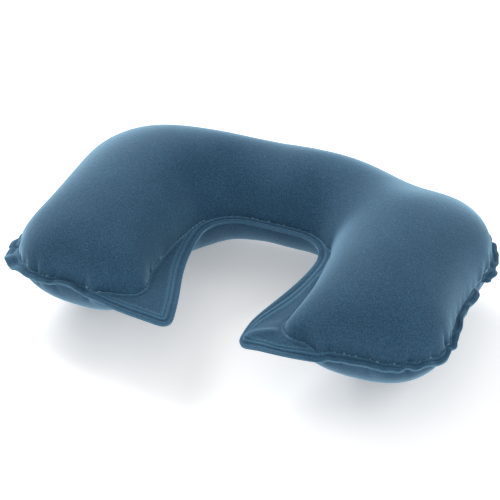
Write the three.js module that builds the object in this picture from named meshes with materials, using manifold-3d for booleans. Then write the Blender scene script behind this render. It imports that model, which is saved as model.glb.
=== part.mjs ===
// Inflatable U-shaped camp pillow: two flocked PVC panels welded around their edge, with a push-in valve.
// Millimetres, +Z up. Origin: middle of the footprint, on the surface that the pillow rests on.
// -Y is the open mouth, where the neck goes in, +Y the closed back, and +X the right arm.

import * as THREE from "three";
import { mergeVertices } from "three/addons/utils/BufferGeometryUtils.js";
import Module from "manifold-3d";

const wasm = await Module();
wasm.setup();

// ---- Driving dimensions: the inflated pillow ----
const PILLOW_HEIGHT = 101;
const FILM = 0.8; // PVC film with its flock
const SEAM_GAP = 0.3; // between the two panels, where the weld joins them
const SEAM_Z = PILLOW_HEIGHT / 2;
const ARM_CREST = SEAM_Z - SEAM_GAP / 2 - FILM; // rise of a panel above its flange, over an arm
const BACK_CREST = 39; // the same at the middle of the back, where the tube is narrower
const FLOOR_PRESS = 1.5; // how far the arms would bulge below the surface that flattens them

// Corners of the right half of each outline: x, y and fillet radius.
const CUT_EDGE = {
  shoulder: [179, 114.5, 64],
  front: [186.2, -113, 40],
  armEnd: [34, -119.9, 8], // pointed tip of the flat web
  innerBack: [60, 32, 34],
};
const CHAMBER = {
  shoulder: [171, 107, 56],
  front: [178.2, -105, 34],
  armEnd: [72, -108, 18], // inner corner of the air chamber, beside the web
  innerBack: [69, 39.5, 32],
};
const BACK_BOW = 5; // how much farther back an outline lies at its middle than at its shoulders
const CAP_START = 0.7; // share of an arm's straight sides that comes before its rounded end

// Steps along each stretch of an outline, and angles round the wall from the weld up to the crest.
const BACK_STEPS = 5;
const ARC_STEPS = 6;
const ARM_STEPS = 6;
const CAP_SIDE_STEPS = 2;
const FRONT_STEPS = 4;
const WALL_ANGLES = [0, 18, 36, 54, 70, 80, 90].map(THREE.MathUtils.degToRad);

// ---- Driving dimensions: the valve, along its own axis, from the outer face of its seat ----
const VALVE_ANGLE = THREE.MathUtils.degToRad(42); // below the seam, round the back of the lower panel
const VALVE_SINK = 0.8; // of the seat's face below the top of the panel's curve
const VALVE_SIDES = 28;
const FIT_GAP = 0.3;
const SEAT = { outer: 13, inner: 9, thickness: 2, chamfer: 0.4 };
const STEM = { outer: 5, bore: 3.6, top: -1.2, bottom: -8.2, base: 6.2, baseThickness: 1.2 };
const SKIRT = { top: -0.4, wall: 1 };
const PLUG = { root: 3.45, tip: 2.6, length: 3.5, head: 5.8, headThickness: 1.5, tabWidth: 2.6 };
const FLAP = { radius: 4.6, thickness: 0.6 };
const STRAP = { width: 3, thickness: 0.8, hinge: 7, past: 0.1, root: -3.2 };

const flockedPvc = () => new THREE.MeshStandardMaterial({ color: 0x3c617d, roughness: 0.95, metalness: 0 });
const valvePvc = () => new THREE.MeshStandardMaterial({ color: 0x35577a, roughness: 0.4, metalness: 0 });

// ---- Outlines ----

function along(a, b, t) {
  return [a[0] + (b[0] - a[0]) * t, a[1] + (b[1] - a[1]) * t];
}

function line(a, b, steps) {
  return Array.from({ length: steps + 1 }, (_, i) => along(a, b, i / steps));
}

function fillet(before, corner, after) {
  const apex = new THREE.Vector2(corner[0], corner[1]);
  const toBefore = new THREE.Vector2(before[0], before[1]).sub(apex).normalize();
  const toAfter = new THREE.Vector2(after[0], after[1]).sub(apex).normalize();
  const half = Math.acos(toBefore.dot(toAfter)) / 2;
  const radius = corner[2];
  const centre = toBefore.clone().add(toAfter).setLength(radius / Math.sin(half)).add(apex);
  const start = toBefore.clone().setLength(radius / Math.tan(half)).add(apex).sub(centre);
  const end = toAfter.clone().setLength(radius / Math.tan(half)).add(apex).sub(centre);
  const turn = Math.atan2(start.cross(end), start.dot(end));
  return Array.from({ length: ARC_STEPS + 1 }, (_, i) => {
    const angle = (turn * i) / ARC_STEPS;
    return start.clone().rotateAround(new THREE.Vector2(), angle).add(centre).toArray();
  });
}

// Joins runs of points that each start where the one before ends.
function joined(...runs) {
  return runs.flatMap((run, k) => (k ? run.slice(1) : run));
}

// The right half of an outline: the outer and inner sides of the tube, matched point for point from the middle of
// the back, and the cap around the arm's end that joins them.
function rightHalf({ shoulder, front, armEnd, innerBack }) {
  const backMiddle = [0, shoulder[1] + BACK_BOW];
  const gapMiddle = [0, innerBack[1]];
  const shoulderArc = fillet(backMiddle, shoulder, front);
  const frontArc = fillet(shoulder, front, armEnd);
  const endArc = fillet(front, armEnd, innerBack);
  const innerArc = fillet(gapMiddle, innerBack, armEnd);
  const outerCap = along(shoulderArc.at(-1), frontArc[0], CAP_START);
  const innerCap = along(innerArc.at(-1), endArc.at(-1), CAP_START);
  return {
    outer: joined(
      line(backMiddle, shoulderArc[0], BACK_STEPS),
      shoulderArc,
      line(shoulderArc.at(-1), outerCap, ARM_STEPS),
    ),
    inner: joined(line(gapMiddle, innerArc[0], BACK_STEPS), innerArc, line(innerArc.at(-1), innerCap, ARM_STEPS)),
    cap: joined(
      line(outerCap, frontArc[0], CAP_SIDE_STEPS),
      frontArc,
      line(frontArc.at(-1), endArc[0], FRONT_STEPS),
      endArc,
      line(endArc.at(-1), innerCap, CAP_SIDE_STEPS),
    ),
  };
}

// ---- Stations: one per outline point, with its cut edge, its weld and the spine point it rises to ----

const edge = rightHalf(CUT_EDGE);
const weld = rightHalf(CHAMBER);
const spineEnd = weld.outer.length - 1;

function crestRise(j) {
  return THREE.MathUtils.lerp(BACK_CREST, ARM_CREST, THREE.MathUtils.smoothstep(j, 0, BACK_STEPS + ARC_STEPS));
}

function station(edgePoint, weldPoint, j) {
  return { edge: edgePoint, weld: weldPoint, spine: along(weld.outer[j], weld.inner[j], 0.5), rise: crestRise(j) };
}

function mirrored(s) {
  const flip = ([x, y]) => [-x, y];
  return { edge: flip(s.edge), weld: flip(s.weld), spine: flip(s.spine), rise: s.rise };
}

const rightStations = [
  ...weld.outer.map((point, j) => station(edge.outer[j], point, j)),
  ...weld.cap.slice(1, -1).map((point, k) => station(edge.cap[k + 1], point, spineEnd)),
  ...weld.inner.map((point, j) => station(edge.inner[j], point, j)).reverse(),
];
const stations = [...rightStations, ...rightStations.slice(1, -1).reverse().map(mirrored)];

// ---- Panels ----

// A point of the swollen chamber wall, at an angle of 0 on the weld and a right angle on the crest.
function wallPoint(s, angle, inset, side) {
  const reach = Math.hypot(s.weld[0] - s.spine[0], s.weld[1] - s.spine[1]);
  const [x, y] = along(s.spine, s.weld, Math.cos(angle) * (1 - inset / reach));
  const press = side < 0 ? (FLOOR_PRESS * s.rise) / ARM_CREST : 0;
  const height = SEAM_GAP / 2 + FILM - inset + (s.rise + press) * Math.sin(angle);
  return [x, y, Math.max(SEAM_Z + side * height, inset)];
}

// One panel: side is 1 for the upper and -1 for the lower.
function panelGeometry(side) {
  const positions = [];
  const same = (a, b) => a.every((value, k) => value === b[k]);
  const triangle = (a, b, c) => {
    if (same(a, b) || same(b, c) || same(c, a)) return;
    positions.push(...a, ...(side < 0 ? [...b, ...c] : [...c, ...b]));
  };
  const quad = (a, b, c, d) => {
    triangle(a, b, c);
    triangle(a, c, d);
  };
  const outerZ = SEAM_Z + side * (SEAM_GAP / 2 + FILM);
  const innerZ = SEAM_Z + (side * SEAM_GAP) / 2;
  // The points across the panel, from its cut edge to the crest, on its flocked face and on its lining.
  const faceOf = (s) => [[...s.edge, outerZ], ...WALL_ANGLES.map((angle) => wallPoint(s, angle, 0, side))];
  const liningOf = (s) => [[...s.edge, innerZ], ...WALL_ANGLES.map((angle) => wallPoint(s, angle, FILM, side))];
  stations.forEach((s, i) => {
    const next = stations[(i + 1) % stations.length];
    const face = [faceOf(s), faceOf(next)];
    const lining = [liningOf(s), liningOf(next)];
    for (let k = 0; k < WALL_ANGLES.length; k++) {
      quad(face[0][k], face[1][k], face[1][k + 1], face[0][k + 1]);
      quad(lining[0][k], lining[0][k + 1], lining[1][k + 1], lining[1][k]);
    }
    quad(lining[0][0], lining[1][0], face[1][0], face[0][0]);
  });
  const geometry = new THREE.BufferGeometry();
  geometry.setAttribute("position", new THREE.Float32BufferAttribute(positions, 3));
  return mergeVertices(geometry);
}

// ---- Booleans ----

function toSolid(geometry) {
  const bare = geometry.clone();
  bare.deleteAttribute("normal");
  bare.deleteAttribute("uv");
  const merged = mergeVertices(bare);
  const vertProperties = Float32Array.from(merged.attributes.position.array);
  const triVerts = Uint32Array.from(merged.index.array);
  return new wasm.Manifold(new wasm.Mesh({ numProp: 3, vertProperties, triVerts }));
}

function toGeometry(solid) {
  const mesh = solid.getMesh();
  const geometry = new THREE.BufferGeometry();
  geometry.setAttribute("position", new THREE.Float32BufferAttribute(mesh.vertProperties, 3));
  geometry.setIndex(new THREE.BufferAttribute(mesh.triVerts, 1));
  return geometry;
}

// ---- Valve ----

// The valve's frame: its +Z points out of the panel and its +Y up the panel, towards the seam.
function valvePlacement() {
  const [middle] = stations;
  const halfTube = middle.weld[1] - middle.spine[1];
  const drop = middle.rise + FLOOR_PRESS * (middle.rise / ARM_CREST);
  const onPanel = new THREE.Vector3(
    0,
    middle.spine[1] + halfTube * Math.cos(VALVE_ANGLE),
    SEAM_Z - SEAM_GAP / 2 - FILM - drop * Math.sin(VALVE_ANGLE),
  );
  const out = new THREE.Vector3(0, Math.cos(VALVE_ANGLE) / halfTube, -Math.sin(VALVE_ANGLE) / drop).normalize();
  const left = new THREE.Vector3(-1, 0, 0);
  const up = new THREE.Vector3().crossVectors(out, left);
  const placement = new THREE.Matrix4().makeBasis(left, up, out);
  return placement.setPosition(onPanel.addScaledVector(out, -VALVE_SINK));
}

// A turned piece about the valve's axis, from a closed profile of radius and height pairs.
function turned(profile) {
  const points = profile.map(([radius, height]) => new THREE.Vector2(radius, height));
  return mergeVertices(new THREE.LatheGeometry(points, VALVE_SIDES).rotateX(Math.PI / 2));
}

// A strip across the valve, extruded to its width from a closed outline of up and out pairs.
function strip(outline, width) {
  const shape = new THREE.Shape(outline.map(([up, out]) => new THREE.Vector2(up, out)));
  const geometry = new THREE.ExtrudeGeometry(shape, { depth: width, bevelEnabled: false, steps: 1 });
  return geometry.translate(0, 0, -width / 2).applyMatrix4(
    new THREE.Matrix4().makeBasis(
      new THREE.Vector3(0, 1, 0),
      new THREE.Vector3(0, 0, 1),
      new THREE.Vector3(1, 0, 0),
    ),
  );
}

function seatGeometry() {
  const { outer, inner, thickness, chamfer } = SEAT;
  return turned([
    [inner, -thickness],
    [outer, -thickness],
    [outer, -chamfer],
    [outer - chamfer, 0],
    [inner, 0],
    [inner, -thickness],
  ]);
}

function skirtGeometry() {
  const outer = SEAT.inner - FIT_GAP;
  const inner = STEM.base + FIT_GAP;
  return turned([
    [inner, STEM.bottom],
    [outer, SKIRT.top - SKIRT.wall],
    [outer, SKIRT.top],
    [outer - SKIRT.wall / 2, SKIRT.top],
    [inner, STEM.bottom + STEM.baseThickness],
    [inner, STEM.bottom],
  ]);
}

function stemGeometry() {
  const { outer, bore, top, bottom, base, baseThickness } = STEM;
  return turned([
    [bore, bottom],
    [base, bottom],
    [base, bottom + baseThickness],
    [outer, bottom + baseThickness],
    [outer, top],
    [bore, top],
    [bore, bottom],
  ]);
}

function plugGeometry() {
  const seatOn = STEM.top + FIT_GAP;
  const head = seatOn + PLUG.headThickness;
  const stopper = turned([
    [0, seatOn - PLUG.length],
    [PLUG.tip, seatOn - PLUG.length],
    [PLUG.root, seatOn],
    [PLUG.head, seatOn],
    [PLUG.head, head - SEAT.chamfer],
    [PLUG.head - SEAT.chamfer, head],
    [0, head],
  ]);
  const tab = strip(
    [
      [PLUG.tip, head - STRAP.thickness],
      [STRAP.hinge, head - STRAP.thickness],
      [STRAP.hinge, head],
      [PLUG.tip, head],
    ],
    PLUG.tabWidth,
  );
  return toGeometry(toSolid(stopper).add(toSolid(tab)));
}

function strapGeometry() {
  const top = STEM.top + PLUG.headThickness - STRAP.thickness;
  const far = STRAP.hinge + STRAP.past;
  const near = far - STRAP.thickness;
  return strip(
    [
      [STEM.outer + FIT_GAP, STRAP.root],
      [near, STRAP.root],
      [far, STRAP.root + STRAP.thickness],
      [far, top],
      [near, top],
      [near, STRAP.root + STRAP.thickness],
      [STEM.outer + FIT_GAP, STRAP.root + STRAP.thickness],
    ],
    STRAP.width,
  );
}

function flapGeometry() {
  const face = STEM.bottom - FIT_GAP;
  return turned([
    [0, face - FLAP.thickness],
    [FLAP.radius, face - FLAP.thickness],
    [FLAP.radius, face],
    [0, face],
  ]);
}

// The lower panel, with a round hole that the valve's seat is welded into.
function lowerPanelGeometry(placement) {
  const radius = SEAT.outer + FIT_GAP;
  const hole = new THREE.CylinderGeometry(radius, radius, 4 * SEAT.outer, VALVE_SIDES).rotateX(Math.PI / 2);
  return toGeometry(toSolid(panelGeometry(-1)).subtract(toSolid(hole.applyMatrix4(placement))));
}

// ---- Assembly ----

function named(name, geometry, material) {
  const mesh = new THREE.Mesh(geometry, material);
  mesh.name = name;
  return mesh;
}

const placement = valvePlacement();
const valve = new THREE.Group();
valve.applyMatrix4(placement);
valve.add(
  named("valve_seat", seatGeometry(), valvePvc()),
  named("valve_skirt", skirtGeometry(), valvePvc()),
  named("valve_stem", stemGeometry(), valvePvc()),
  named("valve_strap", strapGeometry(), valvePvc()),
  named("valve_plug", plugGeometry(), valvePvc()),
  named("valve_flap", flapGeometry(), valvePvc()),
);

const pillow = new THREE.Group();
pillow.add(
  named("upper_panel", panelGeometry(1), flockedPvc()),
  named("lower_panel", lowerPanelGeometry(placement), flockedPvc()),
  valve,
);

export default pillow;
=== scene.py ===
"""Camp pillow: the looks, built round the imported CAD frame.

Two flocked sheets are cut flat, welded round a U and blown up by Blender's Cloth. The flange
and webs are then laid out, the broad faces smoothed, and the whole scaled to the CAD model's
width. Each sheet becomes a closed film of its own thickness. Shapes are worked out in
millimetres up to the point where a mesh is made, and the scene is in metres.
"""

import math

import bmesh
import bpy
import numpy as np
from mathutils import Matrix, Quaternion, Vector
from mathutils.geometry import delaunay_2d_cdt


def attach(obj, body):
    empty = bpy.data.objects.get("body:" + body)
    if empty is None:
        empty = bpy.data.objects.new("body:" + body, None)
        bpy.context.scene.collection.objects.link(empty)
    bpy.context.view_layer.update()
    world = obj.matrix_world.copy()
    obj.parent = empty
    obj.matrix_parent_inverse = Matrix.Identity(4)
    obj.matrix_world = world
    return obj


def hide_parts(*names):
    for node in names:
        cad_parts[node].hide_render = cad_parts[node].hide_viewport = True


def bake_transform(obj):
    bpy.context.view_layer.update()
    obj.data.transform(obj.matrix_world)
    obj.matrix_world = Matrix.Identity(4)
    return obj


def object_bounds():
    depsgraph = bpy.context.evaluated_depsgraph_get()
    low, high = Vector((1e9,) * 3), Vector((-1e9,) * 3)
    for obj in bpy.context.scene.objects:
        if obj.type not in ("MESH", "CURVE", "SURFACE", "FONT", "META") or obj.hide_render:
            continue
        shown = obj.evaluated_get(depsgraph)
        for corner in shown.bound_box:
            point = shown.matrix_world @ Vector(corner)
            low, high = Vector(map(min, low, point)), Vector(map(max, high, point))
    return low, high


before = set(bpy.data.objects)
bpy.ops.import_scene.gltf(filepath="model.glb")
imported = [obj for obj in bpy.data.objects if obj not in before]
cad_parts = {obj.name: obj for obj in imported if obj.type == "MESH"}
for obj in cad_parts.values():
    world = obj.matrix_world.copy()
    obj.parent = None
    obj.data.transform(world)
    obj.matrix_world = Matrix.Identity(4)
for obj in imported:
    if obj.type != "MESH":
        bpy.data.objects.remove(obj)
cad_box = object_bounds()
MM = 0.001

# The flat pattern's right half, before scaling: x, y and fillet radius at each corner of the cut edge.
SHOULDER = (225.2, 151.6, 113.4)
FRONT = (290.5, -105.5, 82.5)
TIP = (94.1, -177.9, 10.0)
INNER = (52.4, -4.9, 38.6)
FLANGE = 9.0

# The grid of cloth points: its spacing, and shares of that spacing for scatter and for clear room.
CELL = 5.0
SCATTER = 0.12
CLEAR_OF_LINES = 0.6
CLEAR_OF_VALVE = 0.4

# The weld across each arm that leaves a flat web at its inner front corner.
WEB_START = (62.4, -12.9)
WEB_CORNER = (121.6, -137.3, 26.0)
WEB_RUN = (70.0, -4.0)

# Points inside a web: the depth of each row along its edge with the least gap, then the cells.
WEB_ROWS = ((1.5, 2.0), (3.0, 2.2), (4.6, 2.6))
WEB_CELL = 4.0
WEB_CLEAR = 6.6

# How the webs hang: both droop, and the right one also sways outwards, bows and has a fold.
WEB_DROOP = 8.3
WEB_SPAN = 50.0
WEB_SWAY = 8.5
WEB_BOW = 2.5
WEB_FOLD = 3.0
FOLD_START = (6.0, 14.0)

# Rings of points round the valve on the flat sheets, and how far its middle is from the back weld.
VALVE_INSET = 32.0
VALVE_RINGS = (14.9, 18.2, 22.4, 27.0)
VALVE_SIDES = 28

# The cloth, at ten times its size so that Blender's Cloth behaves.
CLOTH_SCALE = 10.0
CLOTH_ROWS = 3
FRAMES = 36
PRESSURE = 30.0
STRETCH = 10.0
DAMPING = 5.0
BENDING = 2.0
WEB_BENDING = 60.0

# The shape that the cloth starts from: a low pillow with a rippled flange.
START_LEAST = 0.3
START_SLOPE = 0.25
START_REACH = 12.0
START_RIPPLE = 0.6
RIPPLE_PITCH = 27.0

# The flange after the cloth: its rows, ruffle, sag, and how far its front edge is straightened.
# Past RUFFLE_BACK the ruffle is full, and it fades to RUFFLE_LEAST of that at RUFFLE_FRONT.
FLANGE_ROWS = 6
RUFFLE_PITCH = 15.5
RUFFLE_MOST = 2.6
RUFFLE_LEAST = 0.3
RUFFLE_FRONT = -115.0
RUFFLE_BACK = -80.0
RUFFLE_WANDER = 6.3
FLANGE_SAG = 2.0
FLANGE_LOOK = 11.0
FRONT_CALM = 0.55
FRONT_REACH = 22.0
FRONT_FROM = -60.0
FRONT_FULL = -95.0

# The smoothing of the broad faces: rounds, and the shrinking and growing step of each round.
CALM_ROUNDS = 300
CALM_STEPS = (0.55, -0.565)
CALM_FROM = 6.0
CALM_FULL = 28.0

# The films, in millimetres at full size, and how softly they press on the floor.
FILM = 0.7
GAP = 0.3
SINK = 2.0
PRESS_SOFT = 1.2
LEAST_HEIGHT = 0.02

# The marks of the welding: how far from a weld or the cut edge each one lies, and how wide it is.
BEAD = (1.9, 1.0)
GROOVE = (4.3, 1.3)
WEB_GROOVE = (4.6, 1.4)
SECOND_BEAD = (2.4, 0.8)
LIP = (0.0, 0.7)

# Soft rises and dips of the upper face: where, how wide, and by how much, at full size.
# They fade in between two heights above the floor.
RISES = (
    ((15.0, 72.0), 38.0, (0.0, 0.0, 4.5)),
    ((95.0, 72.0), 34.0, (0.0, 0.0, -8.0)),
    ((-125.0, 75.0), 40.0, (0.0, 0.0, 2.5)),
    ((160.0, 62.0), 45.0, (2.5, 1.0, 2.0)),
)
RISE_FROM = 50.0
RISE_FULL = 75.0

# Lobes where the flange folds out at its tightest turns, in the same form.
LOBES = (
    ((-168.0, -88.0), 17.0, (-7.5, -2.0, -3.0)),
    ((176.0, 88.0), 15.0, (5.0, 4.0, 2.0)),
)

# The valve's own frame, as in the CAD: its middle on the lower panel, out of it, up it and across.
VALVE_AT = np.array([0.0, 102.06805, 23.16832])
OUT = np.array([0.0, 0.77618, -0.63051])
UP = np.array([0.0, 0.63051, 0.77618])
LEFT = np.array([-1.0, 0.0, 0.0])
VALVE_HOLE = 13.5
VALVE_SUNK = 1.1
PATCH_FLAT = 17.0
PATCH_END = 34.0

# The look, as linear colours, and the side of the floor in metres.
FLOCK_BLUE = (0.0185, 0.064, 0.119)
VALVE_BLUE = (0.036, 0.095, 0.195)
FILM_GREY = (0.3, 0.38, 0.45)
FLOOR = 80.0

# The skirt's pleats and the plug's tab, in millimetres and degrees.
SKIRT_TOP = 0.4
SKIRT_LONG = 7.8
PLEATS = 12
PLEAT = 0.2
TAB_HALF = 13.0
TAB_OUT = 1.2
TAB_FROM = 5.0
TAB_DEEP = 0.8
TAB_BACK = -0.3


# ---------------------------------------------------------------- flat geometry
def fillet(before, corner, after, radius, sides):
    """The arc that rounds a corner, from the side of `before` to the side of `after`."""
    u = (before - corner) / np.linalg.norm(before - corner)
    v = (after - corner) / np.linalg.norm(after - corner)
    half = math.acos(np.clip(u @ v, -1, 1)) / 2
    cut = radius / math.tan(half)
    middle = corner + (u + v) / np.linalg.norm(u + v) * radius / math.sin(half)
    start = corner + u * cut - middle
    end = corner + v * cut - middle
    first = math.atan2(start[1], start[0])
    turn = (math.atan2(end[1], end[0]) - first + math.pi) % (2 * math.pi) - math.pi
    angles = first + turn * np.linspace(0, 1, sides + 1)
    return middle + radius * np.stack([np.cos(angles), np.sin(angles)], 1)


def resample(points, step, closed):
    """Points at an even step along a line or a loop."""
    line = np.vstack([points, points[:1]]) if closed else points
    along = np.concatenate([[0], np.cumsum(np.linalg.norm(np.diff(line, axis=0), axis=1))])
    count = max(3, int(round(along[-1] / step)))
    places = np.linspace(0, along[-1], count + 1)
    if closed:
        places = places[:-1]
    return np.stack([np.interp(places, along, line[:, k]) for k in range(2)], 1)


def rounded_loop(corners, step):
    """A closed loop of (x, y, radius) corners, at an even step."""
    points = [np.array(c[:2], float) for c in corners]
    arcs = []
    for i, corner in enumerate(corners):
        before, after = points[i - 1], points[(i + 1) % len(points)]
        sides = max(2, int(2 * corner[2]))
        arcs.append(fillet(before, points[i], after, corner[2], sides))
    return resample(np.vstack(arcs), step, True)


def inward(loop):
    """The unit normal into a closed loop at each of its points."""
    along = np.roll(loop, -1, 0) - np.roll(loop, 1, 0)
    along /= np.linalg.norm(along, axis=1)[:, None]
    area = np.sum(loop[:, 0] * np.roll(loop[:, 1], -1) - np.roll(loop[:, 0], -1) * loop[:, 1])
    return np.stack([-along[:, 1], along[:, 0]], 1) * (1 if area > 0 else -1)


def inside(loop, points):
    """Which points lie inside a closed loop."""
    x, y = points[:, 0], points[:, 1]
    result = np.zeros(len(points), bool)
    for (ax, ay), (bx, by) in zip(loop, np.roll(loop, -1, 0)):
        if ay != by:
            result ^= ((ay > y) != (by > y)) & (x < (bx - ax) * (y - ay) / (by - ay) + ax)
    return result


def distance(points, line, closed):
    """How far each point is from a line or a loop."""
    starts = line if closed else line[:-1]
    ends = np.roll(line, -1, 0) if closed else line[1:]
    best = np.full(len(points), 1e9)
    for a, b in zip(starts, ends):
        ab = b - a
        t = np.clip(((points - a) @ ab) / (ab @ ab + 1e-12), 0, 1)
        best = np.minimum(best, np.linalg.norm(points - a - t[:, None] * ab, axis=1))
    return best


def ridge(value, middle, width):
    """A smooth hump of height 1 about `middle`."""
    return np.exp(-(((value - middle) / width) ** 2))


def hump(places, x, y, radius):
    """A round hump of height 1 about (x, y), seen from above."""
    return np.exp(-((places[:, 0] - x) ** 2 + (places[:, 1] - y) ** 2) / radius**2)


def blurred(values, reach):
    """Each value along a closed loop, mixed with up to `reach` neighbours on either side."""
    weights = np.hanning(2 * reach + 3)[1:-1]
    total = sum(np.roll(values, k, 0) * w for k, w in zip(range(-reach, reach + 1), weights))
    return total / weights.sum()


def unit(vectors):
    """The vectors at length 1, with zero left as it is."""
    return vectors / np.maximum(np.linalg.norm(vectors, axis=1), 1e-9)[:, None]


def smooth(edge0, edge1, value):
    """0 before edge0, 1 after edge1, and a smooth step between them."""
    t = np.clip((np.asarray(value, float) - edge0) / (edge1 - edge0), 0, 1)
    return t * t * (3 - 2 * t)


def triangulate(points, edges):
    """Delaunay triangles of the points, and where each given point went."""
    made, _, faces, sources, _, _ = delaunay_2d_cdt([Vector(p) for p in points], edges, [], 0, 1e-5)
    place = {}
    for new, olds in enumerate(sources):
        for old in olds:
            place[old] = new
    return np.array([tuple(v) for v in made]), np.array([tuple(f) for f in faces]), place


def facing(faces, flat, up):
    """The same faces, all wound to face up or down."""
    a, b, c = flat[faces[:, 0]], flat[faces[:, 1]], flat[faces[:, 2]]
    is_up = ((b - a)[:, 0] * (c - a)[:, 1] - (b - a)[:, 1] * (c - a)[:, 0]) > 0
    return np.where((is_up == up)[:, None], faces, faces[:, ::-1])


def ring_quads(rings):
    """Quads between each closed ring of points and the next one out."""
    bands = []
    for a, b in zip(rings[:-1], rings[1:]):
        bands.append(np.stack([a, np.roll(a, -1), np.roll(b, -1), b], 1))
    return np.vstack(bands)


def web_line(side, weld):
    """The weld across one arm, and the two points of the chamber's weld that it joins."""
    corner = np.array(WEB_CORNER[:2])
    start = np.array(WEB_START)
    end = corner + np.array(WEB_RUN)
    arc = fillet(start, corner, end, WEB_CORNER[2], 24)
    line = resample(np.vstack([start, arc, end]), CELL, False)
    line[:, 0] *= side
    kept = np.nonzero(inside(weld, line) & (distance(line, weld, True) > CELL * 0.55))[0]
    line = line[kept.min() : kept.max() + 1]
    first = int(np.argmin(np.linalg.norm(weld - line[0], axis=1)))
    last = int(np.argmin(np.linalg.norm(weld - line[-1], axis=1)))
    return line, first, last


def shorter_way(start, end, count):
    """The indices round a closed loop from start to end, the shorter way."""
    forward, back = (end - start) % count, (start - end) % count
    if forward < back:
        return [(start + j) % count for j in range(forward + 1)]
    return [(start - j) % count for j in range(back + 1)]


def cell_points(weld, webs, valve):
    """An even, slightly scattered grid inside the weld, clear of every line and the valve's rings."""
    low, high = weld.min(0), weld.max(0)
    xs = np.arange(0, high[0], CELL)
    xs = np.concatenate([-xs[:0:-1], xs])
    ys = np.arange(low[1], high[1], CELL * math.sqrt(3) / 2)
    cells = np.array([(x + (CELL / 2 if j % 2 else 0), y) for j, y in enumerate(ys) for x in xs])
    cells += np.random.default_rng(7).uniform(-SCATTER * CELL, SCATTER * CELL, cells.shape)
    keep = inside(weld, cells) & (distance(cells, weld, True) > CLEAR_OF_LINES * CELL)
    for line, _, _ in webs:
        keep &= distance(cells, line, False) > CLEAR_OF_LINES * CELL
    reach = np.linalg.norm(cells - valve, axis=1)
    keep &= reach > VALVE_RINGS[-1] + CLEAR_OF_VALVE * CELL
    keep |= reach < VALVE_RINGS[0] - CLEAR_OF_LINES * CELL
    return cells[keep]


def ring_points(valve):
    """Rings of points round the valve, each turned half a step from the last."""
    turns = np.arange(VALVE_SIDES) * 2 * math.pi / VALVE_SIDES
    rings = []
    for k, radius in enumerate(VALVE_RINGS):
        shifted = turns + (k % 2) * math.pi / VALVE_SIDES
        rings.append(valve + radius * np.stack([np.cos(shifted), np.sin(shifted)], 1))
    return np.vstack(rings)


def flat_pattern():
    """The welded pattern laid flat: its points, its triangles and its lines by name."""
    right = [SHOULDER, FRONT, TIP, INNER]
    left = [(-x, y, r) for x, y, r in reversed(right)]
    cut = rounded_loop(right + left, CELL)
    weld = cut + inward(cut) * FLANGE
    count = len(weld)
    webs = [web_line(side, weld) for side in (1, -1)]
    back = weld[:, 1][np.abs(weld[:, 0]) < CELL].max()
    valve = np.array([0.0, back - VALVE_INSET])
    lines = [line for line, _, _ in webs]
    points = np.vstack([weld] + lines + [cell_points(weld, webs, valve), ring_points(valve)])

    edges = [(i, (i + 1) % count) for i in range(count)]
    first = count
    for line, start, end in webs:
        ids = [start] + list(range(first, first + len(line))) + [end]
        edges += list(zip(ids[:-1], ids[1:]))
        first += len(line)
    hole = len(points) - len(VALVE_RINGS) * VALVE_SIDES
    edges += [(hole + i, hole + (i + 1) % VALVE_SIDES) for i in range(VALVE_SIDES)]
    flat, faces, place = triangulate(points, edges)
    faces = faces[inside(weld, flat[faces].mean(1))]

    is_web = np.zeros(len(faces), bool)
    web_loops = []
    first = count
    for line, start, end in webs:
        way = shorter_way(end, start, count)
        loop = [place[start]] + [place[first + i] for i in range(len(line))]
        loop += [place[i] for i in way[:-1]]
        first += len(line)
        web_loops.append({"line": loop[: len(line) + 1] + [place[end]], "way": way, "loop": loop})
        is_web |= inside(flat[loop], flat[faces].mean(1))
    return {
        "flat": flat,
        "cut": cut,
        "weld": np.array([place[i] for i in range(count)]),
        "chamber": faces[~is_web],
        "web": faces[is_web],
        "webs": web_loops,
        "valve": valve,
    }


# ---------------------------------------------------------------- blowing it up
def link(obj):
    bpy.context.scene.collection.objects.link(obj)
    return obj


def cloth_start(pattern, sheet, inner, lower, rings):
    """How high each point stands before the cloth moves: a low pillow with a rippled flange."""
    flat = pattern["flat"]
    nearest = distance(sheet, flat[pattern["weld"]], True)
    for web in pattern["webs"]:
        nearest = np.minimum(nearest, distance(sheet, flat[web["line"]], False))
    height = np.zeros(len(sheet))
    height[inner] = np.minimum(nearest[inner], START_REACH) * START_SLOPE + START_LEAST
    height[lower[inner]] = -height[inner]
    count = len(pattern["weld"])
    ripple = START_RIPPLE * np.sin(np.arange(count) * CELL * 2 * math.pi / RIPPLE_PITCH)
    for k in range(1, CLOTH_ROWS + 1):
        height[rings[k]] += ripple * k / CLOTH_ROWS
    return height


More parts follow.
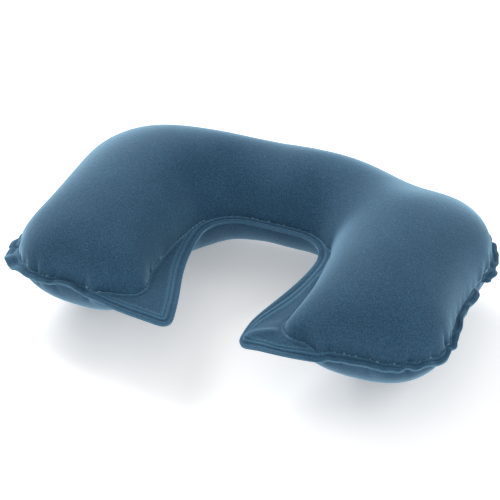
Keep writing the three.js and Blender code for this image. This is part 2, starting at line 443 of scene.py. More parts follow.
def run_cloth(places, faces, under_pressure, stiff):
    """Where Blender's Cloth leaves the points, when air pushes on the faces of the chamber."""
    scale = CLOTH_SCALE * MM
    mesh = bpy.data.meshes.new("cloth")
    mesh.from_pydata([tuple(p) for p in places * scale], [], faces)
    obj = link(bpy.data.objects.new("cloth", mesh))
    obj.vertex_groups.new(name="pressure").add([int(i) for i in under_pressure], 1.0, "REPLACE")
    obj.vertex_groups.new(name="stiff").add([int(i) for i in stiff], 1.0, "REPLACE")
    cloth = obj.modifiers.new("cloth", "CLOTH")
    settings = cloth.settings
    settings.quality = 5
    settings.mass = 0.3
    settings.air_damping = 1.0
    for kind in ("tension", "compression", "shear"):
        setattr(settings, kind + "_stiffness", STRETCH)
        setattr(settings, kind + "_damping", DAMPING)
    settings.bending_stiffness = BENDING
    settings.bending_stiffness_max = WEB_BENDING
    settings.vertex_group_bending = "stiff"
    settings.bending_damping = 0.5
    settings.use_pressure = True
    settings.uniform_pressure_force = PRESSURE
    settings.vertex_group_pressure = "pressure"
    settings.effector_weights.gravity = 0
    cloth.collision_settings.use_collision = False
    cloth.collision_settings.use_self_collision = False
    scene = bpy.context.scene
    scene.frame_start = cloth.point_cache.frame_start = 1
    scene.frame_end = cloth.point_cache.frame_end = FRAMES + 2
    for number in range(1, FRAMES + 1):
        scene.frame_set(number)
    shaped = obj.evaluated_get(bpy.context.evaluated_depsgraph_get())
    place = np.zeros(len(places) * 3)
    shaped.data.vertices.foreach_get("co", place)
    bpy.data.objects.remove(obj)
    scene.frame_set(1)
    return place.reshape(-1, 3) / scale


def inflate(pattern):
    """Where each point of the upper sheet, the lower sheet and the flange's rows ends up."""
    flat, weld = pattern["flat"], pattern["weld"]
    count = len(weld)
    single = np.zeros(len(flat), bool)
    single[weld] = True
    for web in pattern["webs"]:
        single[web["line"]] = True
    single[np.setdiff1d(np.unique(pattern["web"]), np.unique(pattern["chamber"]))] = True
    inner = np.nonzero(~single)[0]
    lower = np.arange(len(flat))
    lower[inner] = len(flat) + np.arange(len(inner))

    width = pattern["cut"] - flat[weld]
    rows = [flat[weld] + width * k / CLOTH_ROWS for k in range(CLOTH_ROWS, 0, -1)]
    sheet = np.vstack([flat, flat[inner]] + rows)
    first = len(flat) + len(inner)
    rings = [weld] + [first + k * count + np.arange(count) for k in reversed(range(CLOTH_ROWS))]
    bands = facing(ring_quads(rings), sheet, True)
    upper_faces = facing(pattern["chamber"], sheet, True)
    lower_faces = facing(lower[pattern["chamber"]], sheet, False)
    web_faces = facing(pattern["web"], sheet, True)
    faces = [tuple(map(int, f)) for part in (upper_faces, lower_faces, web_faces, bands) for f in part]

    height = cloth_start(pattern, sheet, inner, lower, rings)
    under_pressure = np.unique(np.concatenate([upper_faces.ravel(), lower_faces.ravel()]))
    place = run_cloth(np.column_stack([sheet, height]), faces, under_pressure, np.unique(web_faces))
    return place[: len(flat)], place[lower], [place[ring] for ring in rings]


# ---------------------------------------------------------------- the flat webs
def web_points(outline):
    """Points for the inside of a web: rows along its edge, and cells between them."""
    low, high = outline.min(0), outline.max(0)
    xs = np.arange(low[0], high[0], WEB_CELL)
    ys = np.arange(low[1], high[1], WEB_CELL * math.sqrt(3) / 2)
    cells = np.array([(x + (WEB_CELL / 2 if j % 2 else 0), y) for j, y in enumerate(ys) for x in xs])
    layers = [(outline + inward(outline) * depth, depth, gap) for depth, gap in WEB_ROWS]
    layers.append((cells, WEB_CLEAR, 0.0))
    kept = np.zeros((0, 2))
    for points, depth, gap in layers:
        good = inside(outline, points) & (distance(points, outline, True) > depth * 0.93)
        least = min(gap, depth * 0.9)
        for point in points[good]:
            if not len(kept) or np.linalg.norm(kept - point, axis=1).min() >= least:
                kept = np.vstack([kept, point])
    return kept


def relax(flat, faces, target, free):
    """The target with its free points moved, so that their shifts even out between fixed ones."""
    count = len(flat)
    weight = np.zeros((count, count))
    for a, b, c in faces:
        for i, j, k in ((a, b, c), (b, c, a), (c, a, b)):
            u, v = flat[i] - flat[k], flat[j] - flat[k]
            area = abs(u[0] * v[1] - u[1] * v[0]) + 1e-9
            value = min(max((u @ v) / area, 0.05), 20.0)
            weight[i, j] += value
            weight[j, i] += value
    laplacian = np.diag(weight.sum(1)) - weight
    fixed = ~free
    result = target.copy()
    right = -laplacian[np.ix_(free, fixed)] @ target[fixed]
    result[free] = np.linalg.solve(laplacian[np.ix_(free, free)], right)
    return result


def rigid_fit(flat, place):
    """The turn and shift that lay flat points nearest to their places in space."""
    source = np.column_stack([flat, np.zeros(len(flat))])
    a, b = source.mean(0), place.mean(0)
    u, _, v = np.linalg.svd((source - a).T @ (place - b))
    flip = np.diag([1, 1, np.sign(np.linalg.det(v.T @ u.T))])
    turn = v.T @ flip @ u.T
    return lambda points: (np.column_stack([points, np.zeros(len(points))]) - a) @ turn.T + b


def catmull(p0, p1, p2, p3, t):
    """A point on the smooth curve from p1 to p2."""
    square = 2 * p0 - 5 * p1 + 4 * p2 - p3
    cube = 3 * p1 - p0 - 3 * p2 + p3
    return 0.5 * (2 * p1 + (p2 - p0) * t + square * t**2 + cube * t**3)


def ruffle(rings, flat):
    """Waves in the flange where its weld has drawn in: the edge is longer than its way round."""
    placed = np.linalg.norm(np.roll(rings[0], -1, 0) - rings[0], axis=1)
    laid = np.linalg.norm(np.roll(flat, -1, 0) - flat, axis=1)
    drawn = np.clip(1 - blurred(placed, 6) / blurred(laid, 6), 0, 1)
    height = np.minimum(RUFFLE_PITCH / math.pi * np.sqrt(2 * drawn), RUFFLE_MOST)
    height *= RUFFLE_LEAST + (1 - RUFFLE_LEAST) * smooth(RUFFLE_FRONT, RUFFLE_BACK, flat[:, 1])
    wander = np.random.default_rng(5).normal(0, 0.5, len(flat))
    phase = np.cumsum(laid) * 2 * math.pi / RUFFLE_PITCH + blurred(wander, 6) * RUFFLE_WANDER
    along = np.roll(rings[0], -1, 0) - np.roll(rings[0], 1, 0)
    normal = unit(np.cross(along, rings[-1] - rings[0]))
    for k in range(1, CLOTH_ROWS + 1):
        rings[k] += normal * (height * np.sin(phase) * (k / CLOTH_ROWS) ** 1.3)[:, None]


def turn_out(upper, lower, rings, flat, pattern):
    """Where the cloth let the flange fall into the chamber, stands it out from the seam again."""
    weld = flat[pattern["weld"]]
    used = np.unique(pattern["chamber"])
    outward = np.zeros((len(weld), 3))
    for i, spot in enumerate(weld):
        near = used[np.linalg.norm(flat[used] - spot, axis=1) < FLANGE_LOOK]
        if len(near):
            outward[i] = rings[0][i] - (upper[near].mean(0) + lower[near].mean(0)) / 2
    along = unit(np.roll(rings[0], -1, 0) - np.roll(rings[0], 1, 0))
    outward = unit(outward - along * np.sum(outward * along, axis=1)[:, None])
    lies = unit(rings[-1] - rings[0])
    share = 1 - smooth(0.35, 0.75, np.sum(lies * outward, axis=1))
    share = np.clip(blurred(share, 4) * 1.3, 0, 1)
    outward = unit(blurred(outward, 4))
    for k in range(1, CLOTH_ROWS + 1):
        part = k / CLOTH_ROWS
        stands = rings[0] + outward * FLANGE * part - np.array([0, 0, FLANGE_SAG * part**2])
        rings[k] += (stands - rings[k]) * share[:, None]


def straighten(upper, lower, rings, flat, pattern):
    """Draws the waves out of the seam along the front, and lets the chamber follow it."""
    weld = flat[pattern["weld"]]
    share = (smooth(FRONT_FROM, FRONT_FULL, weld[:, 1]) * FRONT_CALM)[:, None]
    shifts = [(blurred(ring, 5) - ring) * share for ring in rings]
    for ring, shift in zip(rings, shifts):
        ring += shift
    near = np.argmin(np.linalg.norm(flat[:, None, :] - weld[None, :, :], axis=2), axis=1)
    reach = np.linalg.norm(flat - weld[near], axis=1)
    follow = (np.clip(1 - reach / FRONT_REACH, 0, 1) ** 2)[:, None] * shifts[0][near]
    return upper + follow, lower + follow


def calm(places, faces, clear):
    """Takes the short wrinkles out of a sheet away from its welds, and leaves its size."""
    pairs = np.vstack([faces[:, [k, (k + 1) % 3]] for k in range(3)])
    edges = np.unique(np.sort(pairs, axis=1), axis=0)
    ends = np.concatenate([edges[:, 0], edges[:, 1]])
    others = np.concatenate([edges[:, 1], edges[:, 0]])
    degree = np.bincount(ends, minlength=len(places))
    share = (smooth(CALM_FROM, CALM_FULL, clear) * (degree > 0))[:, None]
    for step in CALM_STEPS * CALM_ROUNDS:
        total = np.stack([np.bincount(ends, places[others, k], len(places)) for k in range(3)], 1)
        mean = total / np.maximum(degree, 1)[:, None]
        places = places + (mean - places) * step * share
    return places


def flange_rows(rings):
    """The flange's rows from the weld outwards, more of them than the cloth had."""
    outer = [2 * rings[0] - rings[1]] + rings + [2 * rings[-1] - rings[-2]]
    rows = []
    for k in range(1, FLANGE_ROWS + 1):
        place = CLOTH_ROWS * k / FLANGE_ROWS
        span = min(int(place), CLOTH_ROWS - 1)
        rows.append(catmull(*outer[span : span + 4], place - span))
    return rows


def fresh_web(flat, loop, index, first):
    """A web's own inside points, and its faces, with those points numbered from `first`."""
    outline = flat[loop]
    extra = web_points(outline)
    ring = len(loop)
    edges = [(i, (i + 1) % ring) for i in range(ring)]
    made, faces, place = triangulate(np.vstack([outline, extra]), edges)
    faces = faces[inside(outline, made[faces].mean(1))]
    number = {}
    for old, new in place.items():
        number[new] = index[int(loop[old])] if old < ring else first + old - ring
    return extra, np.array([[number[v] for v in face] for face in faces])


def hang(placed, flat, line):
    """Lets a web droop, and gives the right one its sway, bow and fold. `line` is its weld, flat."""
    reach = distance(flat, line, False)
    placed[:, 2] -= WEB_DROOP * (reach / WEB_SPAN) ** 1.5
    if line[0, 0] < 0:
        return
    placed[:, 0] += WEB_SWAY * smooth(22.0, 58.0, reach)
    placed[:, 0] -= WEB_BOW * ridge(reach, 24.0, 14.0)
    start = np.array(TIP[:2]) + np.array(FOLD_START)
    fold = distance(flat, np.array([start, WEB_CORNER[:2]]), False)
    placed[:, 2] += WEB_FOLD * ridge(fold, 0.0, 5.0) * smooth(2.0, 12.0, reach)
    placed[:, 2] -= WEB_FOLD * 0.7 * ridge(reach, 15.0, 9.0) * smooth(8.0, 25.0, fold)


def lay_web(sheets, line, faces, free):
    """Lays one web and the flange beside it flat again, where the cloth crumpled them."""
    flat, upper = sheets["flat"], sheets["upper"]
    carry = rigid_fit(flat[line], upper[line])
    near = np.isin(sheets["bands"], np.nonzero(free)[0]).any(1)
    quads = sheets["bands"][near]
    patch = np.vstack([faces, quads[:, [0, 1, 2]], quads[:, [0, 2, 3]]])
    ids, inverse = np.unique(patch, return_inverse=True)
    laid = carry(flat[ids])
    placed = laid + relax(flat[ids], inverse.reshape(patch.shape), upper[ids] - laid, free[ids])
    hang(placed, flat[ids], flat[line])
    for key in ("upper", "lower"):
        sheets[key][ids[free[ids]]] = placed[free[ids]]


def build_sheets():
    """The two sheets as single surfaces in millimetres: points, flat points and faces."""
    pattern = flat_pattern()
    upper, lower, rings = inflate(pattern)
    flat, weld, cut = pattern["flat"], pattern["weld"], pattern["cut"]
    count = len(weld)
    turn_out(upper, lower, rings, flat, pattern)
    upper, lower = straighten(upper, lower, rings, flat, pattern)
    ruffle(rings, flat[weld])
    rows = flange_rows(rings)
    width = cut - flat[weld]
    flat_rows = [flat[weld] + width * k / FLANGE_ROWS for k in range(1, FLANGE_ROWS + 1)]

    # Points in order: the chamber's, then each web's own, then the flange's rows.
    used = np.unique(np.concatenate([pattern["chamber"].ravel(), weld]))
    index = {int(old): new for new, old in enumerate(used)}
    total = len(used)
    extras, web_faces, web_spots = [], [], []
    for web in pattern["webs"]:
        extra, faces = fresh_web(flat, web["loop"], index, total)
        extras.append(extra)
        web_faces.append(faces)
        web_spots.append(np.arange(total, total + len(extra)))
        total += len(extra)
    row_ids = [total + k * count + np.arange(count) for k in range(FLANGE_ROWS)]
    rings_ids = [np.array([index[int(i)] for i in weld])] + row_ids
    blank = np.zeros((sum(len(extra) for extra in extras), 3))
    flat_all = np.vstack([flat[used]] + extras + flat_rows)
    lines = [np.array([index[int(i)] for i in web["line"]]) for web in pattern["webs"]]
    creases = list(zip(rings_ids[0], np.roll(rings_ids[0], -1)))
    for line in lines:
        creases += list(zip(line[:-1], line[1:]))
    sheets = {
        "flat": flat_all,
        "upper": np.vstack([upper[used], blank] + rows),
        "lower": np.vstack([lower[used], blank] + rows),
        "chamber": np.vectorize(index.get)(pattern["chamber"]),
        "web": facing(np.vstack(web_faces), flat_all, True),
        "bands": facing(ring_quads(rings_ids), flat_all, True),
        "creases": creases,
        "valve": pattern["valve"],
        "cut": cut,
        "weld": flat[weld],
        "lines": [flat[web["line"]] for web in pattern["webs"]],
        "web_outlines": [flat[web["loop"]] for web in pattern["webs"]],
    }
    for web, line, faces, spots in zip(pattern["webs"], lines, web_faces, web_spots):
        free = np.zeros(len(flat_all), bool)
        free[spots] = True
        for ring in rings_ids:
            free[ring[web["way"][1:-1]]] = True
        lay_web(sheets, line, faces, free)
    return sheets


def set_down(sheets):
    """Scales both sheets to the CAD model's width and presses them softly on the floor."""
    both = np.vstack([sheets["upper"], sheets["lower"]])
    low, high = both.min(0), both.max(0)
    cad_low = np.array(cad_box[0]) / MM
    cad_high = np.array(cad_box[1]) / MM
    scale = (cad_high[0] - cad_low[0] - 2 * FILM) / (high[0] - low[0])
    middle = (low + high) / 2
    aim = (cad_low + cad_high) / 2
    base = GAP / 2 + FILM
    for key in ("upper", "lower"):
        place = (sheets[key] - middle) * scale
        place[:, :2] += aim[:2]
        place[:, 2] += (middle[2] - low[2]) * scale - SINK
        place[:, 2] = base + np.logaddexp(place[:, 2] / PRESS_SOFT, 0) * PRESS_SOFT
        sheets[key] = place


def shape_by_hand(sheets, blown):
    """Adds the soft rises of the upper face and the lobes of the flange."""
    for (x, y), radius, shift in RISES:
        place = sheets["upper"]
        share = hump(place, x, y, radius) * smooth(RISE_FROM, RISE_FULL, place[:, 2]) * blown
        sheets["upper"] = place + share[:, None] * np.array(shift)
    count = len(sheets["cut"])
    outwards = np.zeros(len(blown))
    outwards[-FLANGE_ROWS * count :] = np.repeat(np.arange(1, FLANGE_ROWS + 1) / FLANGE_ROWS, count)
    for (x, y), radius, shift in LOBES:
        share = outwards * hump(sheets["upper"], x, y, radius)
        for key in ("upper", "lower"):
            sheets[key] = sheets[key] + share[:, None] * np.array(shift)


def lay_patch(sheets, in_chamber):
    """Lays the lower sheet flat round the valve, square to the valve's axis."""
    offset = sheets["flat"] - sheets["valve"]
    spread = np.linalg.norm(offset, axis=1)
    across, up = (offset * VALVE_HOLE / VALVE_RINGS[0]).T
    patch = VALVE_AT - OUT * VALVE_SUNK - np.outer(across, LEFT) + np.outer(up, UP)
    share = (1 - smooth(PATCH_FLAT, PATCH_END, spread)) * in_chamber
    sheets["lower"] = sheets["lower"] + (patch - sheets["lower"]) * share[:, None]


def settle(sheets):
    """Smooths the sheets, sets them down and shapes them where cloth alone falls short."""
    clear = distance(sheets["flat"], sheets["weld"], True)
    for line in sheets["lines"]:
        clear = np.minimum(clear, distance(sheets["flat"], line, False))
    for key in ("upper", "lower"):
        sheets[key] = calm(sheets[key], sheets["chamber"], clear)
    in_chamber = np.zeros(len(clear), bool)
    in_chamber[np.unique(sheets["chamber"])] = True
    set_down(sheets)
    shape_by_hand(sheets, in_chamber & (clear > 0.5))
    lay_patch(sheets, in_chamber)
    return sheets


# ---------------------------------------------------------------- from sheet to film
def subdivided(places, flat, faces, creases, name):
    """One level of subdivision: points, flat points and quads."""
    mesh = bpy.data.meshes.new(name)
    mesh.from_pydata([tuple(p) for p in places], [], [tuple(map(int, f)) for f in faces])
    attribute = mesh.attributes.new("flat", "FLOAT_VECTOR", "POINT")
    attribute.data.foreach_set("vector", np.column_stack([flat, np.zeros(len(flat))]).ravel())
    sharp = {(min(int(a), int(b)), max(int(a), int(b))) for a, b in creases}
    crease = mesh.attributes.new("crease_edge", "FLOAT", "EDGE")
    for number, edge in enumerate(mesh.edges):
        a, b = edge.vertices
        crease.data[number].value = 1.0 if (min(a, b), max(a, b)) in sharp else 0.0
    obj = link(bpy.data.objects.new(name, mesh))
    subsurf = obj.modifiers.new("subdivide", "SUBSURF")
    subsurf.levels = subsurf.render_levels = 1
    done = obj.evaluated_get(bpy.context.evaluated_depsgraph_get()).data
    place = np.zeros(len(done.vertices) * 3)
    done.vertices.foreach_get("co", place)
    where = np.zeros(len(done.vertices) * 3)
    done.attributes["flat"].data.foreach_get("vector", where)
    quads = np.array([tuple(p.vertices) for p in done.polygons])
    bpy.data.objects.remove(obj)
    return place.reshape(-1, 3), where.reshape(-1, 3)[:, :2], quads


def point_normals(places, quads):
    """Unit normals at the points of a quad mesh."""
    a, b, c, d = places[quads.T]
    cross = np.cross(c - a, d - b)
    normal = np.zeros_like(places)
    for k in range(4):
        np.add.at(normal, quads[:, k], cross)
    return unit(normal)


def rim_edges(quads):
    """The edges that only one quad uses, in that quad's direction."""
    edges = np.vstack([quads[:, [k, (k + 1) % 4]] for k in range(4)])
    key = np.sort(edges, axis=1)
    _, first, count = np.unique(key, axis=0, return_index=True, return_counts=True)
    return edges[first[count == 1]]


def weld_marks(flat, sheets):
    """How strongly each point lies on the beads, pressed lines and cut edge, and the relief."""
    to_weld = distance(flat, sheets["weld"], True)
    to_line = np.minimum(*[distance(flat, line, False) for line in sheets["lines"]])
    to_cut = distance(flat, sheets["cut"], True)
    in_band = ~inside(sheets["weld"], flat) | (to_weld < 0.3)
    in_web = np.zeros(len(flat), bool)
    for loop in sheets["web_outlines"]:
        in_web |= inside(loop, flat)
    step = np.where(in_band, to_weld, to_line)
    bead = (in_band | in_web) * ridge(step, *BEAD) + in_web * ridge(to_weld, *BEAD)
    pressed = in_band * ridge(to_weld, *GROOVE) + in_web * ridge(to_line, *WEB_GROOVE)
    second = in_band * ridge(to_cut, *SECOND_BEAD)
    lip = in_band * ridge(to_cut, *LIP)
    relief = 0.62 * bead - 0.3 * pressed + 0.22 * second + 0.15 * lip
    # The bead mark lightens the flock as a painted highlight along the raised beads; the edge mark is
    # wear at the cut edge.
    return {"edge": lip, "bead": bead + 0.4 * second, "press": pressed}, relief


def film(name, key, sheets, face_up):
    """One panel: a sheet's surface given a film's thickness, with its welds pressed into it."""
    chamber = sheets["chamber"]
    if key == "lower":
        reach = np.linalg.norm(sheets["flat"][chamber].mean(1) - sheets["valve"], axis=1)
        chamber = chamber[reach > VALVE_RINGS[0]]
    chamber = facing(chamber, sheets["flat"], True)
    faces = [tuple(f) for part in (chamber, sheets["web"], sheets["bands"]) for f in part]
    if not face_up:
        faces = [f[::-1] for f in faces]
    used = np.unique(np.concatenate([np.array(f) for f in faces]))
    renumber = np.full(len(sheets["flat"]), -1)
    renumber[used] = np.arange(len(used))
    faces = [renumber[list(f)] for f in faces]
    creases = [(renumber[a], renumber[b]) for a, b in sheets["creases"]]
    places, flat, quads = subdivided(sheets[key][used], sheets["flat"][used], faces, creases, name)

    marks, relief = weld_marks(flat, sheets)
    normal = point_normals(places, quads)
    lining = places + normal * GAP / 2
    face = places + normal * (GAP / 2 + FILM + relief)[:, None]
    face[:, 2] = np.maximum(face[:, 2], LEAST_HEIGHT)
    total = len(places)
    rim = rim_edges(quads)
    walls = np.stack([rim[:, 1], rim[:, 0], rim[:, 0] + total, rim[:, 1] + total], 1)
    every = np.vstack([quads, quads[:, ::-1] + total, walls])
    points = [tuple(p) for p in np.vstack([face, lining]) * MM]
    mesh = bpy.data.meshes.new(name)
    mesh.from_pydata(points, [], [tuple(map(int, f)) for f in every])
    mesh.polygons.foreach_set("use_smooth", np.ones(len(every), bool))
    for mark, values in marks.items():
        on_lining = values if mark == "edge" else np.zeros(total)
        both = np.clip(np.concatenate([values, on_lining]), 0, 1)
        attribute = mesh.attributes.new(mark, "FLOAT", "POINT")
        attribute.data.foreach_set("value", both.astype(np.float32))
    return link(bpy.data.objects.new(name, mesh))


# ---------------------------------------------------------------- the valve's pieces
def declare(obj, material, body, node):
    """Gives a piece its material, hides the CAD part that it stands for, and gives it its body unless
    it blends two.
    """
    obj.data.materials.append(material)
    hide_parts(node)
    if body:
        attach(obj, body)


def valve_mesh(name, points, faces):
    """A closed mesh from points in the valve's frame: left, up and out, in millimetres."""
    points = np.asarray(points, float)
    place = VALVE_AT + points[:, :1] * LEFT + points[:, 1:2] * UP + points[:, 2:3] * OUT
    mesh = bpy.data.meshes.new(name)
    mesh.from_pydata([tuple(p) for p in place * MM], [], faces)
    mesh.polygons.foreach_set("use_smooth", np.ones(len(mesh.polygons), bool))
    work = bmesh.new()
    work.from_mesh(mesh)
    bmesh.ops.recalc_face_normals(work, faces=work.faces)
    work.to_mesh(mesh)
    work.free()
    return link(bpy.data.objects.new(name, mesh))


def softened(profile, radius, sides=4):
    """A closed profile with each corner rounded, but for those on the axis and the nearly flat."""
    points = [np.array(p, float) for p in profile]
    result = []
    for i, corner in enumerate(points):
        before, after = points[i - 1], points[(i + 1) % len(points)]
        room = min(np.linalg.norm(before - corner), np.linalg.norm(after - corner)) * 0.45
        u = (before - corner) / np.linalg.norm(before - corner)
        v = (after - corner) / np.linalg.norm(after - corner)
        half = math.acos(np.clip(u @ v, -0.9999, 0.9999)) / 2
        if corner[0] < 1e-6 or half > 1.5:
            result.append(corner)
        else:
            result += list(fillet(before, corner, after, min(radius, room * math.tan(half)), sides))
    return np.array(result)


def turned(name, profile, sides=64, warp=None):
    """A closed profile of (radius, out) turned about the valve's axis, with `warp` moving points."""
    points = []
    rings = []
    for radius, out in profile:
        start = len(points)
        if radius < 1e-6:
            points.append((0.0, 0.0, out))
            rings.append([start] * sides)
            continue
        for k in range(sides):
            angle = 2 * math.pi * k / sides
            r, z = warp(radius, out, angle) if warp else (radius, out)
            points.append((r * math.cos(angle), r * math.sin(angle), z))
        rings.append(list(range(start, start + sides)))
    faces = []
    for a, b in zip(rings, rings[1:] + rings[:1]):
        for k in range(sides):
            loop = [a[k], a[(k + 1) % sides], b[(k + 1) % sides], b[k]]
            loop = [v for i, v in enumerate(loop) if v != loop[i - 1]]
            if len(loop) > 2:
                faces.append(tuple(loop))
    return valve_mesh(name, points, faces)


def block(name, outline, across, radius=0.25):
    """An outline of (up, out) points, softened, given a width across the valve."""
    line = softened(outline, radius)
    count = len(line)
    rows = [(-across / 2, 0.3), (-across / 2 + 0.12, 0.1), (-across / 2 + 0.35, 0.0)]
    rows += [(-x, inset) for x, inset in reversed(rows)]
    normal = inward(line)
    points = [(x, up, out) for x, inset in rows for up, out in line + normal * inset]
    last = len(rows) - 1
    faces = [tuple(range(count)), tuple(reversed(range(last * count, (last + 1) * count)))]
    for k in range(last):
        for i in range(count):
            j = (i + 1) % count
            faces.append((k * count + j, k * count + i, (k + 1) * count + i, (k + 1) * count + j))
    return valve_mesh(name, points, faces)


def pleat(radius, out, angle):
    """Soft pleats round the skirt's wall, deepest half way along it."""
    depth = math.sin(math.pi * min(max((-out - SKIRT_TOP) / SKIRT_LONG, 0), 1))
    return radius - PLEAT * depth * (1 - math.cos(PLEATS * angle)), out


def tab(radius, out, angle):
    """The tongue at the top of the plug's head that a finger lifts."""
    away = (math.degrees(angle) - 90) / TAB_HALF
    if radius > TAB_FROM and out > TAB_BACK and abs(away) < 1:
        radius += TAB_OUT * (1 - away**4) ** 0.5 * (radius - TAB_FROM) / TAB_DEEP
    return radius, out


def make_valve():
    """The seat, skirt, stem, plug, strap and flap, each but the skirt on the body that it moves with.
    """
    seat_line = [(9.0, -2.0), (13.0, -2.0), (13.0, -0.8), (12.4, -0.3), (11.2, -0.3), (10.9, 0.0)]
    seat_line += [(9.5, 0.0), (9.0, -0.4)]
    seat = turned("valve_seat_ring", softened(seat_line, 0.25))

    fall = np.linspace(0, 1, 14)
    lean = 8.7 - 2.2 * smooth(0, 1, fall)
    face = np.stack([lean, -SKIRT_TOP - 6.6 * fall], 1)
    lining = np.stack([lean, -SKIRT_TOP - 1.0 - 6.8 * fall], 1)[::-1]
    skirt = turned("valve_skirt_cone", np.vstack([face, lining]), warp=pleat)

    stem_line = [(3.6, -8.2), (6.2, -8.2), (6.2, -7.0), (5.3, -7.0), (5.0, -6.6), (5.0, -1.9)]
    stem_line += [(4.8, -1.7), (4.8, -1.2), (3.6, -1.2)]
    stem = turned("valve_stem_tube", softened(stem_line, 0.2))

    plug_line = [(0.0, -4.4), (2.4, -4.4), (2.7, -4.1), (3.15, -3.2), (3.4, -2.9), (3.2, -2.5)]
    plug_line += [(3.3, -0.9), (5.5, -0.9), (5.8, -0.6), (5.8, -0.32), (5.8, -0.2), (5.8, 0.25)]
    plug_line += [(5.5, 0.58), (4.5, 0.58), (4.2, 0.4), (2.2, 0.4), (1.9, 0.55), (0.0, 0.55)]
    plug = turned("valve_plug_cap", plug_line, sides=120, warp=tab)

    strap_line = [(5.3, -3.2), (7.1, -3.2), (7.1, -0.5), (6.3, -0.5), (6.3, -2.4), (5.3, -2.4)]
    strap = block("valve_strap_link", strap_line, 3.0)

    flap_line = [(0.0, -9.1), (4.4, -9.1), (4.6, -8.95), (4.6, -8.65), (4.4, -8.5), (3.4, -8.5)]
    flap_line += [(3.1, -8.62), (0.0, -8.62)]
    flap = turned("valve_flap_disc", flap_line)

    pvc = moulded("soft_pvc", VALVE_BLUE, 0.36)
    clear_film = moulded("valve_film_pvc", FILM_GREY, 0.28)
    for piece, material, body, slot_name, node in (
        (seat, pvc, "pillow", "valve_pvc", "valve_seat"),
        (skirt, pvc, None, "valve_pvc", "valve_skirt"),
        (stem, pvc, "stem", "valve_pvc", "valve_stem"),
        (plug, pvc, "plug", "valve_pvc", "valve_plug"),
        (strap, pvc, "stem", "valve_pvc", "valve_strap"),
        (flap, clear_film, "flap", "valve_film", "valve_flap"),
    ):
        declare(piece, material, body, node)
    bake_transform(skirt)


# ---------------------------------------------------------------- materials
def new_material(name):
    """An empty material, and a function that adds a node to it.

    The function takes a node's inputs in their own order or by name, each as a value or as a
    socket to link from, and the node's properties by name.
    """
    material = bpy.data.materials.new(name)
    material.use_nodes = True
    tree = material.node_tree
    tree.nodes.clear()

    def fill(socket, value):
        if isinstance(value, bpy.types.NodeSocket):
            tree.links.new(value, socket)
        else:
            socket.default_value = value

    def add(kind, *values, **settings):
        node = tree.nodes.new("ShaderNode" + kind)
        for socket, value in zip(node.inputs, values):
            fill(socket, value)
        for key, value in settings.items():
            if hasattr(node, key):
                setattr(node, key, value)
            else:
                fill(node.inputs[key.replace("_", " ")], value)
        return node

    return material, add


def noise(add, scale, detail, rough):
    """Noise in the object's own space, in waves of about 1 / scale metres."""
    where = add("TexCoord").outputs["Object"]
    return add("TexNoise", Vector=where, Scale=scale, Detail=detail, Roughness=rough).outputs["Fac"]


def mapped(add, value, low, high, to_low, to_high):
    """A value with the range from low to high stretched over another."""
    return add("MapRange", value, low, high, to_low, to_high).outputs["Result"]


def colour_ramp(add, value, *stops):
    """The colour for a value, from stops of (place, colour): the two ends, then any between."""
    ramp = add("ValToRGB", value)
    elements = ramp.color_ramp.elements
    for number, (place, colour) in enumerate(stops):
        stop = elements[number] if number < 2 else elements.new(place)
        stop.position = place
        stop.color = (*colour, 1)
    return ramp.outputs["Color"]


def bump(add, height, **settings):
    """The surface's normal, tilted by a height."""
    return add("Bump", Height=height, **settings).outputs["Normal"]


def surface(add, **settings):
    """The shader that a material ends in."""
    shader = add("BsdfPrincipled", **settings)
    add("OutputMaterial", Surface=shader.outputs["BSDF"])


def flock(name, base):
    """Short velvet flock on film: a speckled nap, wide soft marks, light worn cut edges and a painted
    highlight along the weld beads.
    """
    material, add = new_material(name)
    grain = noise(add, 1150.0, 2.0, 0.6)
    clumps = noise(add, 330.0, 3.0, 0.55)
    nap = noise(add, 34.0, 3.0, 0.5)
    wide = noise(add, 11.0, 2.0, 0.5)
    layers = [(mapped(add, grain, 0.32, 0.68, -1.0, 1.0), 0.34)]
    for marks, strength in ((clumps, 0.05), (nap, 0.06), (wide, 0.05)):
        layers.append((mapped(add, marks, 0.3, 0.7, -1.0, 1.0), strength))
    # The cut edge is lighter with wear, the beads are lightened as a painted highlight where their
    # raised ridges catch the light, and the pressed lines are darker.
    for mark, strength in (("edge", 0.95), ("bead", 0.5), ("press", -0.14)):
        layers.append((add("Attribute", attribute_name=mark).outputs["Fac"], strength))
    shade = 0.5
    for layer, strength in layers:
        shade = add("Math", layer, strength, shade, operation="MULTIPLY_ADD").outputs[0]
    dark = np.multiply(base, (0.45, 0.48, 0.52))
    light = np.multiply(base, (2.4, 1.95, 1.7))
    fine = bump(add, grain, Strength=0.35, Distance=0.0004)
    surface(
        add,
        Base_Color=colour_ramp(add, shade, (0.0, dark), (1.0, light), (0.5, base)),
        Roughness=mapped(add, clumps, 0.3, 0.7, 0.78, 0.95),
        Normal=bump(add, clumps, Strength=0.25, Distance=0.0008, Normal=fine),
        Specular_IOR_Level=0.25,
        Sheen_Weight=1.0,
        Sheen_Roughness=0.38,
        Sheen_Tint=(0.45, 0.75, 0.97, 1),
    )
    return material


def moulded(name, base, roughness):
    """Soft moulded PVC: a satin skin with faint flow marks and rubbed high spots."""
    material, add = new_material(name)
    marks = noise(add, 260.0, 4.0, 0.6)
    broad = noise(add, 90.0, 2.0, 0.5)
    dark = np.multiply(base, 0.8)
    light = np.multiply(base, 1.2)
    surface(
        add,
        Base_Color=colour_ramp(add, broad, (0.3, dark), (0.7, light)),
        Roughness=mapped(add, marks, 0.3, 0.7, roughness - 0.06, roughness + 0.1),
        Normal=bump(add, marks, Strength=0.25, Distance=0.0002),
    )
    return material


# ---------------------------------------------------------------- the scene
def area_light(name, place, aim, size, power):
    """A square light that faces `aim`."""
    light = bpy.data.lights.new(name, "AREA")
    light.size = size
    light.energy = power
    obj = link(bpy.data.objects.new(name, light))
    obj.location = place
    obj.rotation_mode = "QUATERNION"
    obj.rotation_quaternion = (Vector(aim) - Vector(place)).to_track_quat("-Z", "Y")


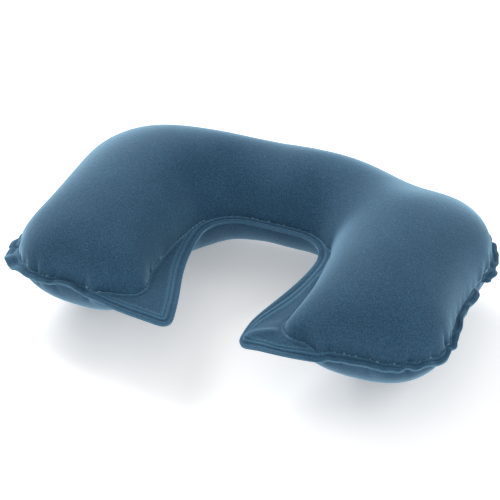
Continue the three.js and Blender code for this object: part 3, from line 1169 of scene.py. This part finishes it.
def make_stage():
    """A pale floor, soft light and a bright even surround."""
    mesh = bpy.data.meshes.new("floor")
    half = FLOOR / 2
    corners = [(-half, -half, 0), (half, -half, 0), (half, half, 0), (-half, half, 0)]
    mesh.from_pydata(corners, [], [(0, 1, 2, 3)])
    floor = link(bpy.data.objects.new("floor", mesh))
    paper = bpy.data.materials.new("floor_paper")
    paper.use_nodes = True
    shader = paper.node_tree.nodes["Principled BSDF"]
    shader.inputs["Base Color"].default_value = (0.93, 0.93, 0.93, 1)
    shader.inputs["Roughness"].default_value = 0.9
    shader.inputs["Specular IOR Level"].default_value = 0.1
    shader.inputs["Emission Color"].default_value = (1, 1, 1, 1)
    shader.inputs["Emission Strength"].default_value = 0.28
    mesh.materials.append(paper)
    world = bpy.data.worlds.new("surround")
    bpy.context.scene.world = world
    world.use_nodes = True
    background = world.node_tree.nodes["Background"]
    background.inputs["Color"].default_value = (1.0, 1.0, 1.0, 1)
    background.inputs["Strength"].default_value = 0.7
    area_light("key", place=(-1.1, 0.75, 1.0), aim=(0.05, 0, 0.04), size=0.9, power=25.0)
    area_light("side", place=(1.2, 0.3, 0.9), aim=(0.1, 0, 0.04), size=0.8, power=5.0)
    area_light("front", place=(0.3, -1.5, 1.0), aim=(0, 0, 0.04), size=1.0, power=3.0)


def make_camera(azimuth, elevation, roll, reach, target, lens, shift):
    """A camera `reach` metres from its target, at these angles in degrees round and above it."""
    a, e = math.radians(azimuth), math.radians(elevation)
    back = Vector((math.sin(a) * math.cos(e), -math.cos(a) * math.cos(e), math.sin(e)))
    camera = bpy.data.cameras.new("camera")
    camera.lens = lens
    camera.sensor_width = 36
    camera.shift_x, camera.shift_y = shift
    obj = link(bpy.data.objects.new("camera", camera))
    obj.location = Vector(target) + back * reach
    obj.rotation_mode = "QUATERNION"
    level = (-back).to_track_quat("-Z", "Y")
    obj.rotation_quaternion = level @ Quaternion((0, 0, 1), math.radians(roll))
    bpy.context.scene.camera = obj


def make_panels():
    """The upper and the lower panel, from one pair of sheets."""
    sheets = settle(build_sheets())
    velvet = flock("flocked_pvc", FLOCK_BLUE)
    for name, key, face_up, slot_name, node in (
        ("upper_panel_film", "upper", True, "upper_flocked_pvc", "upper_panel"),
        ("lower_panel_film", "lower", False, "lower_flocked_pvc", "lower_panel"),
    ):
        panel = film(name, key, sheets, face_up)
        declare(panel, velvet, "pillow", node)


bpy.context.scene.view_settings.view_transform = "Standard"
make_panels()
make_valve()
make_stage()
make_camera(
    azimuth=22.1,
    elevation=34.97,
    roll=0.5,
    reach=1.3704,
    target=(0, 0, 0.0455),
    lens=123.96,
    shift=(-0.0206, 0.0078),
)
